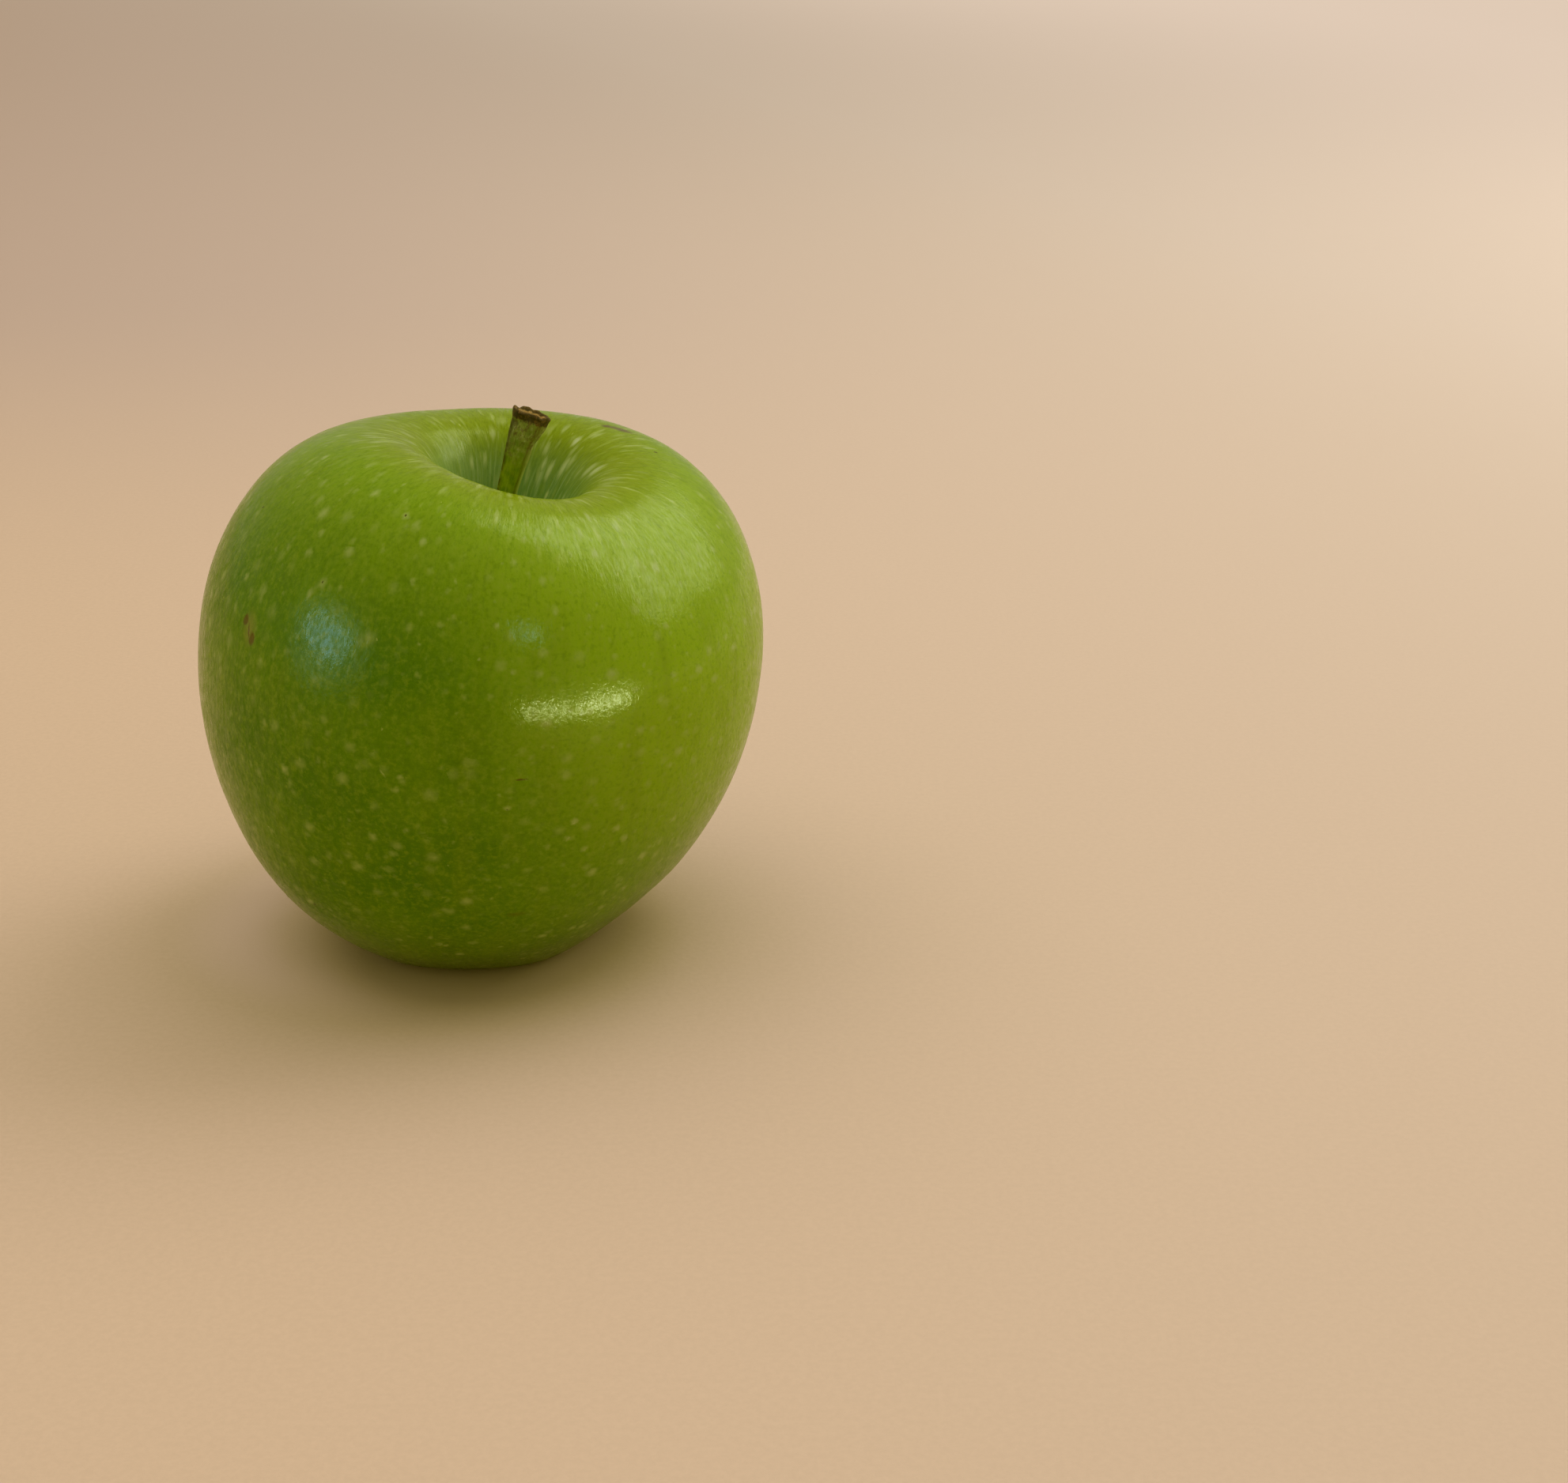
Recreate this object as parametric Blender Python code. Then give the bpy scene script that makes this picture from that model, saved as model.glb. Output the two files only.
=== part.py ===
"""A green apple as it was picked: the fruit, its woody stalk and the dried calyx underneath.

Metres, +Z up. The fruit is an outline turned about its growing axis. It is made slightly oval, its
base swells into five lobes, and its upper half leans, because an apple rarely grows straight. The
lobes end in small flat spots on Z = 0, which the apple rests on. The origin is on that plane, under
the middle of the bounding box. The photograph is taken from the -Y side.
"""
import math

import bmesh
import bpy
import numpy as np

MM = 0.001

# Outline from the floor of the stalk's hollow, over the shoulder, down the side and into the basin
# underneath, as (radius, height) in millimetres.
OUTLINE = [
    (0.0, 52.0), (3.5, 53.2), (7.7, 60.7), (12.1, 67.8), (20.0, 68.8), (29.8, 63.3), (36.2, 52.6),
    (38.2, 41.0), (36.3, 25.7), (29.2, 11.5), (20.5, 3.6), (14.5, 0.8), (8.1, 2.8), (3.5, 6.2), (0.0, 7.0),
]
COLUMNS = 60
FINE_STEP = 1.6
COARSE_STEP = 4.0
TIGHT_RADIUS = 21.0

# How far the cross-section is from a circle, as fractions of its radius: a shift sideways, an oval and
# three corners, each along X and along Y. The base has more of each than the rest.
WHOLE_WAVES = ((-0.004, 0.014), (-0.009, 0.001), (0.004, 0.014))
BASE_WAVES = ((-0.049, -0.038), (-0.014, 0.008), (0.010, 0.018))
BASE_HEIGHT = 20.0
BASE_FADE = 6.0

# The five lobes round the basin.
LOBES = 5
LOBE_TURN = math.radians(13.7)
LOBE_SWELL = 0.014
LOBE_DROP = 0.22
BASIN_RIM_RADIUS = 15.0
BASIN_RIM_WIDTH = 6.0

# The shoulder is higher at the left front and the right back than between them.
SHOULDER_WAVE = (0.04, 1.33)
SHOULDER_HEIGHT = 52.0
SHOULDER_FADE = 4.0
SHOULDER_RADIUS = 22.0

# The upper part leans to +X and a little to -Y. The lean grows smoothly about a height.
LEAN = math.radians(10.4)
NOD = math.radians(4.4)
LEAN_CENTRE = 36.0
LEAN_HEIGHT = 42.7
LEAN_FADE = 8.0

# The plane that the apple stands on, and the middle of its bounding box, before it is moved there.
FLOOR = 0.77
MIDDLE = (0.24, -0.18)

# Plain holes for the stalk's root and the calyx's root, and how much slimmer the roots are.
GAP = 0.3
STALK_CLEARANCE = 0.4
CALYX_CLEARANCE = 0.5
STALK_HOLE_RADIUS = 1.6
STALK_HOLE_DEPTH = 4.5
CALYX_HOLE_RADIUS = 2.6
CALYX_HOLE_DEPTH = 2.5

# The stalk above its root: middle line and radius, (x, y, z, radius), where the fruit grew.
STALK = [
    (3.4, -1.2, 57.5, 1.20), (4.7, -1.5, 63.2, 1.27), (6.35, -1.75, 68.6, 1.58),
    (7.15, -1.9, 70.9, 1.80), (7.9, -1.93, 72.35, 2.10), (8.3, -1.87, 73.5, 2.38),
]
# The broken end: (radius as a fraction of the last one, distance beyond it).
STALK_SCAR = [(0.93, 0.35), (0.68, 0.15), (0.42, -0.45), (0.18, -0.60)]
STALK_SIDES = 14
STALK_STEP = 1.6
STALK_RIDGES = ((2, 0.06, 0.4), (3, 0.05, 1.9))

# The calyx: a round root that tapers at its lower end, and sepals whose middle line is (radius, height)
# in the frame of the outline.
ROOT_END_HEIGHT = 5.3
ROOT_END_TAPER = 0.6
ROOT_END_SHARE = 0.8
ROOT_SIDES = 20
SEPAL_LINE = [(0.6, 7.0), (1.9, 5.3), (3.1, 4.0), (4.7, 3.0), (6.6, 2.6)]
SEPAL_WIDTHS = [1.9, 3.2, 3.0, 2.1, 0.8]
SEPAL_THICKNESS = 0.7
SEPAL_CURL = 0.45
SEPAL_STEP = 0.8
SEPAL_REACH = (1.0, 0.9, 1.06, 0.94, 1.02)
SEPAL_TWIST = (0.14, -0.22, 0.08, 0.25, -0.11)

SHARP_ANGLE = math.radians(40.0)


def smooth_curve(points, start, end, steps):
    """A cubic curve through the points, with the given directions at its two ends."""
    points = np.asarray(points, float)
    count = len(points)
    gaps = np.linalg.norm(np.diff(points, axis=0), axis=1)
    slopes = np.diff(points, axis=0) / gaps[:, None]
    system = np.zeros((count, count))
    right = np.zeros_like(points)
    system[0, :2] = 2 * gaps[0], gaps[0]
    system[-1, -2:] = gaps[-1], 2 * gaps[-1]
    right[0] = 6 * (slopes[0] - start)
    right[-1] = 6 * (end - slopes[-1])
    for i in range(1, count - 1):
        system[i, i - 1:i + 2] = gaps[i - 1], 2 * (gaps[i - 1] + gaps[i]), gaps[i]
        right[i] = 6 * (slopes[i] - slopes[i - 1])
    bend = np.linalg.solve(system, right)
    curve = []
    for i, gap in enumerate(gaps):
        for b in np.linspace(0.0, 1.0, steps[i], endpoint=False):
            a = 1.0 - b
            bulge = (a**3 - a) * bend[i] + (b**3 - b) * bend[i + 1]
            curve.append(a * points[i] + b * points[i + 1] + bulge * gap**2 / 6)
    curve.append(points[-1])
    return np.array(curve)


def fade(value, centre, width):
    """A smooth step from 0 below the centre to 1 above it."""
    return 1.0 / (1.0 + np.exp(-(value - centre) / width))


def lean_over(points):
    """Leans the upper part of points that grew upright, in millimetres."""
    x, y, z = points[..., 0], points[..., 1], points[..., 2] - LEAN_CENTRE
    weight = fade(points[..., 2], LEAN_HEIGHT, LEAN_FADE)
    lean = LEAN * weight
    nod = NOD * weight
    leaned_x = x * np.cos(lean) + z * np.sin(lean)
    leaned_z = z * np.cos(lean) - x * np.sin(lean)
    nodded_y = y * np.cos(nod) - leaned_z * np.sin(nod)
    nodded_z = y * np.sin(nod) + leaned_z * np.cos(nod) + LEAN_CENTRE
    return np.stack([leaned_x, nodded_y, nodded_z], axis=-1)


def stand(points):
    """Moves millimetre points from where the fruit grew to the floor, and into metres."""
    return (points - np.array([MIDDLE[0], MIDDLE[1], FLOOR])) * MM


def skin(rows, angles):
    """The fruit's surface at the outline's (radius, height) rows and at the angles round it."""
    radius = rows[:, :1]
    height = rows[:, 1:]
    lobe = np.cos(LOBES * (angles - LOBE_TURN))
    base = 1.0 - fade(height, BASE_HEIGHT, BASE_FADE)
    plan = 1.0 + base * LOBE_SWELL * lobe
    for order, (whole, low) in enumerate(zip(WHOLE_WAVES, BASE_WAVES), start=1):
        plan = plan + (whole[0] + base * low[0]) * np.cos(order * angles)
        plan = plan + (whole[1] + base * low[1]) * np.sin(order * angles)
    rim = np.exp(-(((radius - BASIN_RIM_RADIUS) / BASIN_RIM_WIDTH) ** 2)) * (height < BASE_HEIGHT)
    wave = SHOULDER_WAVE[0] * np.cos(2 * angles) + SHOULDER_WAVE[1] * np.sin(2 * angles)
    shoulder = fade(height, SHOULDER_HEIGHT, SHOULDER_FADE) * radius / SHOULDER_RADIUS
    grown = np.stack([
        radius * plan * np.cos(angles),
        radius * plan * np.sin(angles),
        height - rim * LOBE_DROP * lobe + shoulder * wave,
    ], axis=-1)
    leaned = lean_over(grown)
    leaned[..., 2] = np.maximum(leaned[..., 2], FLOOR)
    return stand(leaned)


def outline_rows():
    """The outline as (radius, height) rows, with a plain hole at each end on the axis."""
    lengths = np.linalg.norm(np.diff(OUTLINE, axis=0), axis=1)
    steps = []
    for length, (radius, height) in zip(lengths, OUTLINE[1:]):
        step = FINE_STEP if radius < TIGHT_RADIUS else COARSE_STEP
        steps.append(max(1, round(length / step)))
    curve = smooth_curve(OUTLINE, (1.0, 0.0), (-1.0, 0.0), steps)
    middle = len(curve) // 2
    top = [row for row in curve[:middle] if row[0] > STALK_HOLE_RADIUS + GAP]
    bottom = [row for row in curve[middle:] if row[0] > CALYX_HOLE_RADIUS + GAP]
    stalk_hole = [
        (STALK_HOLE_RADIUS, OUTLINE[0][1] - STALK_HOLE_DEPTH),
        (STALK_HOLE_RADIUS, OUTLINE[0][1] + GAP),
    ]
    calyx_hole = [
        (CALYX_HOLE_RADIUS, OUTLINE[-1][1] - GAP),
        (CALYX_HOLE_RADIUS, OUTLINE[-1][1] + CALYX_HOLE_DEPTH),
    ]
    return np.array(stalk_hole + top + bottom + calyx_hole)


def tube_mesh(name, rings, first, last):
    """A closed mesh from rings of points, with a point at each end."""
    mesh_data = bmesh.new()
    rows = []
    for ring in rings:
        rows.append([mesh_data.verts.new(point) for point in ring])
    count = len(rows[0])
    for upper, lower in zip(rows, rows[1:]):
        for i in range(count):
            j = (i + 1) % count
            mesh_data.faces.new((upper[i], lower[i], lower[j], upper[j]))
    first_point = mesh_data.verts.new(first)
    last_point = mesh_data.verts.new(last)
    for i in range(count):
        j = (i + 1) % count
        mesh_data.faces.new((first_point, rows[0][i], rows[0][j]))
        mesh_data.faces.new((last_point, rows[-1][j], rows[-1][i]))
    bmesh.ops.recalc_face_normals(mesh_data, faces=mesh_data.faces)
    mesh = bpy.data.meshes.new(name)
    mesh_data.to_mesh(mesh)
    mesh_data.free()
    return mesh


def material(name, colour, roughness):
    """A plain Principled material."""
    made = bpy.data.materials.new(name)
    made.use_nodes = True
    shader = made.node_tree.nodes["Principled BSDF"]
    shader.inputs["Base Color"].default_value = (*colour, 1.0)
    shader.inputs["Roughness"].default_value = roughness
    shader.inputs["Metallic"].default_value = 0.0
    return made


def add_object(name, mesh, surface):
    """Puts a mesh in the scene, shaded smooth with its sharp edges kept."""
    mesh.materials.clear()
    mesh.materials.append(surface)
    mesh.shade_smooth()
    mesh.set_sharp_from_angle(angle=SHARP_ANGLE)
    made = bpy.data.objects.new(name, mesh)
    bpy.context.scene.collection.objects.link(made)
    return made


def build_fruit():
    """Flesh and skin, one solid."""
    angles = np.linspace(0.0, 2 * math.pi, COLUMNS, endpoint=False)
    rows = outline_rows()
    first = skin(np.array([[0.0, rows[0][1]]]), angles[:1])[0, 0]
    last = skin(np.array([[0.0, rows[-1][1]]]), angles[:1])[0, 0]
    mesh = tube_mesh("fruit", skin(rows, angles), first, last)
    return add_object("fruit", mesh, material("green skin", (0.150, 0.215, 0.018), 0.28))


def stalk_ring(centre, direction, radius, angles):
    """A ring across the stalk, a little ridged."""
    across = np.cross((0.0, 1.0, 0.0), direction)
    across = across / np.linalg.norm(across)
    along = np.cross(direction, across)
    ridged = radius * np.ones_like(angles)
    for order, depth, turn in STALK_RIDGES:
        ridged = ridged * (1.0 + depth * np.cos(order * angles + turn))
    return centre + np.outer(ridged * np.cos(angles), across) + np.outer(ridged * np.sin(angles), along)


def build_stalk():
    """The stalk, rooted in its hole and flared to the scar where it broke from the twig."""
    root_radius = STALK_HOLE_RADIUS - STALK_CLEARANCE
    hole_floor = OUTLINE[0][1] - STALK_HOLE_DEPTH
    upright = np.array([(0.0, 0.0, hole_floor + GAP), (0.0, 0.0, OUTLINE[0][1])])
    root = [(*point, root_radius / (1.0 + STALK_RIDGES[0][1])) for point in lean_over(upright)]
    points = np.array(root + STALK)
    start = (points[1] - points[0]) / np.linalg.norm(points[1] - points[0])
    end = (points[-1] - points[-2]) / np.linalg.norm(points[-1] - points[-2])
    lengths = np.linalg.norm(np.diff(points, axis=0), axis=1)
    steps = [max(1, round(length / STALK_STEP)) for length in lengths]
    line = smooth_curve(points, start, end, steps)
    angles = np.linspace(0.0, 2 * math.pi, STALK_SIDES, endpoint=False)
    directions = np.gradient(line[:, :3], axis=0)
    rings = [
        stalk_ring(point[:3], direction / np.linalg.norm(direction), point[3], angles)
        for point, direction in zip(line, directions)
    ]
    tip, tip_radius = line[-1][:3], line[-1][3]
    tip_direction = directions[-1] / np.linalg.norm(directions[-1])
    for share, beyond in STALK_SCAR:
        centre = tip + tip_direction * beyond
        rings.append(stalk_ring(centre, tip_direction, tip_radius * share, angles))
    first = line[0][:3]
    last = tip + tip_direction * STALK_SCAR[-1][1]
    mesh = tube_mesh("stalk", [stand(ring) for ring in rings], stand(first), stand(last))
    return add_object("stalk", mesh, material("green brown wood", (0.120, 0.090, 0.030), 0.62))


def build_sepal(index, surface):
    """One dried sepal: a pointed blade that hangs from the root and curls outwards."""
    reach = SEPAL_REACH[index]
    line = [(radius * reach, height) for radius, height in SEPAL_LINE]
    stations = [(radius, height, width) for (radius, height), width in zip(line, SEPAL_WIDTHS)]
    lengths = np.linalg.norm(np.diff(stations, axis=0), axis=1)
    steps = [max(2, round(length / SEPAL_STEP)) for length in lengths]
    start = (stations[1][0] - stations[0][0], stations[1][1] - stations[0][1], 0.0)
    curve = smooth_curve(stations, np.array(start) / np.linalg.norm(start), (1.0, 0.0, -1.0), steps)
    headings = np.gradient(curve[:, :2], axis=0)
    angle = LOBE_TURN + 2 * math.pi * index / LOBES
    outward = np.array([math.cos(angle), math.sin(angle), 0.0])
    sideways = np.array([-math.sin(angle), math.cos(angle), 0.0])
    rings = []
    for (radius, height, width), heading in zip(curve, headings):
        heading = heading / np.linalg.norm(heading)
        share = (radius - curve[0][0]) / (curve[-1][0] - curve[0][0])
        facing = outward * heading[1] + np.array([0.0, 0.0, -heading[0]])
        thick = facing * SEPAL_THICKNESS / 2
        middle = outward * radius + np.array([0.0, 0.0, height])
        half = (sideways + facing * SEPAL_TWIST[index] * share) * width / 2
        curl = -facing * SEPAL_CURL * width / SEPAL_WIDTHS[1]
        ring = [
            middle - half + curl + thick, middle + thick, middle + half + curl + thick,
            middle + half + curl - thick, middle - thick, middle - half + curl - thick,
        ]
        rings.append(stand(lean_over(np.array(ring))))
    mesh = tube_mesh("sepal", rings, rings[0].mean(axis=0), rings[-1].mean(axis=0))
    return add_object("sepal", mesh, surface)


def build_calyx():
    """Five dried sepals fused to the round root that holds them in the basin."""
    surface = material("dried sepal", (0.110, 0.078, 0.050), 0.85)
    root_radius = CALYX_HOLE_RADIUS - CALYX_CLEARANCE
    root_top = OUTLINE[-1][1] + CALYX_HOLE_DEPTH - GAP
    angles = np.linspace(0.0, 2 * math.pi, ROOT_SIDES, endpoint=False)
    heights = [
        (1.0, root_top), (1.0, ROOT_END_HEIGHT + ROOT_END_TAPER), (ROOT_END_SHARE, ROOT_END_HEIGHT),
    ]
    rings = []
    for share, height in heights:
        radius = root_radius * share
        ring = [(radius * math.cos(a), radius * math.sin(a), height) for a in angles]
        rings.append(stand(lean_over(np.array(ring))))
    mesh = tube_mesh("calyx", rings, rings[0].mean(axis=0), rings[-1].mean(axis=0))
    calyx = add_object("calyx", mesh, surface)
    sepals = bpy.data.collections.new("sepals")
    bpy.context.scene.collection.children.link(sepals)
    for index in range(LOBES):
        sepal = build_sepal(index, surface)
        bpy.context.scene.collection.objects.unlink(sepal)
        sepals.objects.link(sepal)
    union = calyx.modifiers.new("sepals", "BOOLEAN")
    union.operation = "UNION"
    union.operand_type = "COLLECTION"
    union.collection = sepals
    depsgraph = bpy.context.evaluated_depsgraph_get()
    fused = bpy.data.meshes.new_from_object(calyx.evaluated_get(depsgraph))
    calyx.modifiers.clear()
    calyx.data = fused
    for sepal in list(sepals.objects):
        bpy.data.objects.remove(sepal)
    bpy.data.collections.remove(sepals)
    return calyx


def main():
    for old in list(bpy.data.objects):
        bpy.data.objects.remove(old)
    build_fruit()
    build_stalk()
    build_calyx()


main()
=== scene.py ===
"""The looks of a green apple: waxy skin with pale dots, a woody stalk and a dried calyx.

Metres, +Z up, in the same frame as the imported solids. The fine skin follows the same turned, lobed and
leaning outline as the fruit's solid, so it lies on it everywhere. The stalk and the calyx are finer
forms of their solids too.
"""
import math

import bpy
import numpy as np
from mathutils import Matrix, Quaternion, Vector, noise


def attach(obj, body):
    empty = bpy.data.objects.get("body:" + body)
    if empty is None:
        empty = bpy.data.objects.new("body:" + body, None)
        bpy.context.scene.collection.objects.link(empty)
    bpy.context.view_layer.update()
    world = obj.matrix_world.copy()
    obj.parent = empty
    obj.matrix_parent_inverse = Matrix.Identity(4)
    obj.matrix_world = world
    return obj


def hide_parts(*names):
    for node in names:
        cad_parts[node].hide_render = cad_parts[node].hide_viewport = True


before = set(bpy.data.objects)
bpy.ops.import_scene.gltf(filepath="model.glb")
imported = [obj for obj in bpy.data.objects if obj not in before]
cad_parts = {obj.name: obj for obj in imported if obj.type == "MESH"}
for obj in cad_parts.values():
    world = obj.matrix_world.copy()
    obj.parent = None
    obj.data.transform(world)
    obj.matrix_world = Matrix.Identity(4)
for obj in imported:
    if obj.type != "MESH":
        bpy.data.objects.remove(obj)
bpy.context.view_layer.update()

MM = 0.001
# The middle of the fruit, in metres: the lights face it.
APPLE_CENTRE = (0.0, 0.0, 36.0 * MM)

# The fruit's outline, (radius, height) in millimetres, from the floor of the stalk's hollow, over the
# shoulder, down the side and into the basin underneath.
OUTLINE = [
    (0.0, 52.0), (3.5, 53.2), (7.7, 60.7), (12.1, 67.8), (20.0, 68.8), (29.8, 63.3), (36.2, 52.6),
    (38.2, 41.0), (36.3, 25.7), (29.2, 11.5), (20.5, 3.6), (14.5, 0.8), (8.1, 2.8), (3.5, 6.2),
    (0.0, 7.0),
]
# How far the cross-section is from a circle: sideways, oval and three-cornered, along X and along Y.
WHOLE_WAVES = ((-0.004, 0.014), (-0.009, 0.001), (0.004, 0.014))
BASE_WAVES = ((-0.049, -0.038), (-0.014, 0.008), (0.010, 0.018))
BASE_HEIGHT = 20.0
BASE_FADE = 6.0
# The base's lobes: how many, where the first is, how far they swell out and how far they reach down.
LOBES = 5
LOBE_TURN = math.radians(13.7)
LOBE_SWELL = 0.014
LOBE_DROP = 0.22
BASIN_RIM_RADIUS = 15.0
BASIN_RIM_WIDTH = 6.0
# The shoulder's uneven height, in millimetres, and where it begins.
SHOULDER_WAVE = (0.04, 1.33)
SHOULDER_HEIGHT = 52.0
SHOULDER_FADE = 4.0
SHOULDER_RADIUS = 22.0
# The upper part leans to the right and nods to the front, about a centre and above a height.
LEAN = math.radians(10.4)
NOD = math.radians(4.4)
LEAN_CENTRE = 36.0
LEAN_HEIGHT = 42.7
LEAN_FADE = 8.0
# The height of the floor, and the middle of the fruit's box, where the fruit grew.
FLOOR = 0.77
MIDDLE = (0.24, -0.18)

# How finely the skin is drawn, and its relief of gentle flat places: (grain, depth) in millimetres.
SKIN_COLUMNS = 300
SKIN_STEP = 0.6
POLE_RADIUS = 0.35
SKIN_RELIEF = ((11.0, 0.10), (4.0, 0.025))
RELIEF_HEIGHT = 4.0
# Fine folds that gather towards the calyx: (how many, how deep, turn), and how far out they reach.
PUCKERS = ((5, 0.16, 1.1), (13, 0.09, 0.3), (21, 0.05, 2.0))
PUCKER_RADIUS = 8.5

# The skin's map of growth is a cylinder of this radius: where its dots were before it stretched. Towards
# the base it is drawn out, so the dots come out small; in the stalk's hollow it is pressed together.
GROWTH_RADIUS = 38.0
NARROW_HEIGHT = 30.0
NARROW_FADE = 6.0
NARROWEST = 5.0
NARROW_STRETCH = 1.15
HOLLOW_HEIGHT = 50.0
HOLLOW_STRETCH = 0.62
HOLLOW_END = 24.0
HOLLOW_FADE = 3.0

# The side that the sun ripened, also painted lighter where the window's light falls on it: its
# direction, and where and how softly it begins.
SUNNY_SIDE = (0.75, -0.45, 0.25)
SUNNY_START = 0.72
SUNNY_FADE = 0.10

# The colour of a pale dot, then each kind of dots on the map: (spacing, share that is kept, smallest
# and largest radius, share of the radius that is plain, offset).
PALE_DOT = (0.370, 0.460, 0.170)
LARGE_DOTS = (2.7, 0.90, 0.62, 1.45, 0.0, (3.0, 11.0, 5.0))
SMALL_DOTS = (1.9, 0.65, 0.35, 0.80, 0.0, (17.0, 2.0, 9.0))
BRIGHT_DOTS = (3.4, 0.20, 0.12, 0.30, 0.40, (5.0, 23.0, 1.0))
RIM_DASHES = (2.0, 0.80, 0.50, 1.00, 0.2, (1.0, 7.0, 31.0))
HOLLOW_DOTS = (4.6, 0.90, 1.50, 2.50, 0.2, (8.0, 3.0, 12.0))

# Blemishes on the skin: (degrees round it, millimetres down it, half width, half length, tilt).
SCAR_MARKS = [
    (219.3, 55.8, 0.85, 0.80, -25.0), (222.9, 57.3, 0.75, 1.00, -20.0), (221.3, 56.6, 0.25, 1.15, -30.0),
]
SCAR_HALO = (221.3, 56.4, 2.0, 2.8, -25.0)
SPECK_MARKS = [
    (235.5, 91.3, 0.35, 0.22, 0.0), (203.2, 44.7, 0.20, 0.34, 50.0), (193.5, 58.0, 0.22, 0.22, 0.0),
    (246.5, 35.7, 0.17, 0.21, 0.0), (236.5, 47.7, 0.16, 0.18, 0.0), (24.5, 28.5, 0.42, 0.25, 0.0),
    (281.0, 72.2, 0.12, 0.14, 0.0), (118.0, 61.0, 0.24, 0.30, 20.0), (72.0, 83.0, 0.30, 0.22, 0.0),
]
PALE_MARKS = [
    (246.5, 35.7, 0.95, 0.80, 0.0), (236.5, 47.9, 0.95, 1.1, 15.0), (234.6, 49.6, 0.70, 1.0, 20.0),
    (260.8, 50.5, 0.34, 0.34, 0.0), (272.8, 50.7, 0.34, 0.34, 0.0), (258.2, 67.7, 0.22, 0.95, -32.0),
    (281.0, 72.0, 0.80, 0.60, 0.0), (269.5, 80.7, 0.22, 0.22, 0.0),
]
SCRATCH_MARK = (283.5, 67.7, 1.0, 0.14, 4.0)
RUSSET_MARKS = [(48.5, 28.0, 5.4, 0.9, -5.0), (53.5, 27.2, 2.0, 0.8, 0.0)]
BRUISE_MARK = (282.8, 90.3, 2.1, 1.0, 0.0)

# The stalk: its root, then (x, y, z, radius) of its middle line, where the fruit grew.
STALK_ROOT_RADIUS = 1.13
STALK_ROOT_DEPTH = 4.2
STALK = [
    (3.4, -1.2, 57.5, 1.20), (4.7, -1.5, 63.2, 1.27), (6.35, -1.75, 68.6, 1.58),
    (7.15, -1.9, 70.9, 1.80), (7.9, -1.93, 72.35, 2.10), (8.3, -1.87, 73.5, 2.38),
]
# The broken end: (radius as a fraction of the last one, distance beyond it).
STALK_SCAR = [
    (1.02, 0.08), (1.01, 0.20), (0.96, 0.30), (0.89, 0.32), (0.82, 0.24), (0.74, 0.08), (0.66, 0.02),
    (0.58, 0.00), (0.50, -0.15), (0.43, -0.45), (0.34, -0.62), (0.22, -0.66), (0.10, -0.62),
    (0.03, -0.60),
]
STALK_COLUMNS = 72
STALK_STEP = 0.2
STALK_RIDGES = ((2, 0.06, 0.4), (3, 0.05, 1.9), (5, 0.018, 0.7), (11, 0.012, 0.0))
# Its fine relief: (depth, grain size) of the fibres, of the knobs under the scar and of the scar.
STALK_GRAIN = (0.06, 0.45)
GRAIN_STRETCH = 0.18
STALK_KNOBS = (0.22, 1.1)
SCAR_ROUGHNESS = (0.30, 0.8)
FLARE_START = 0.86
FLARE_FADE = 0.03
# Lines that run up it: (name, degrees round it, half width in radians). The right one is a painted
# highlight along the stalk's right edge.
STALK_LINES = (("left", 203.0, 0.24), ("right", 335.0, 0.22), ("crease", 316.0, 0.13))

# The calyx: a round root with five sepals, whose middle line is (radius, height) in the outline's frame.
CALYX_ROOT = [(2.05, 9.2), (2.1, 6.6), (2.0, 5.9), (1.6, 5.5), (0.9, 5.6), (0.3, 5.8)]
SEPAL_LINE = [(0.6, 7.0), (1.9, 5.3), (3.1, 4.0), (4.7, 3.0), (6.6, 2.6)]
SEPAL_WIDTHS = [1.9, 3.2, 3.0, 2.1, 0.5]
SEPAL_THICKNESS = 0.5
SEPAL_CURL = 0.45
SEPAL_REACH = (1.0, 0.9, 1.06, 0.94, 1.02)
SEPAL_TWIST = (0.14, -0.22, 0.08, 0.25, -0.11)
# How much thinner it is at its edges and at its tip, its rib's height and width, its ripple's height
# and grain size.
SEPAL_THINNER = (0.65, 0.45)
SEPAL_RIB = (0.10, 0.12)
SEPAL_RIPPLE = (0.16, 1.3)
SEPAL_COLUMNS = 11
SEPAL_STEP = 0.22
ROOT_COLUMNS = 40
# The dried flower's threads: how many, where they start, their length, spread and relative thickness.
STAMENS = {
    "count": 15, "start": 1.35, "length": (2.0, 2.9), "spread": (-0.5, 0.5), "thick": 1.0, "tip": 1.0,
}
STYLES = {
    "count": 5, "start": 0.35, "length": (1.6, 2.1), "spread": (0.1, 0.4), "thick": 1.3, "tip": 0.8,
}
THREAD_HEIGHT = 5.9
THREAD_RADIUS = 0.11
THREAD_STEPS = 9
THREAD_SIDES = 8
TIP_RADIUS = 0.24
TIP_SHAPE = (0.8, 1.0, 0.5)

# The camera: where it stands, in millimetres, how far it looks down, and its lens and sensor.
CAMERA_PLACE = (40.94, -336.32, 149.18)
CAMERA_PITCH = math.radians(20.0)
CAMERA_LENS = 60.0
CAMERA_SENSOR = 36.0

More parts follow.
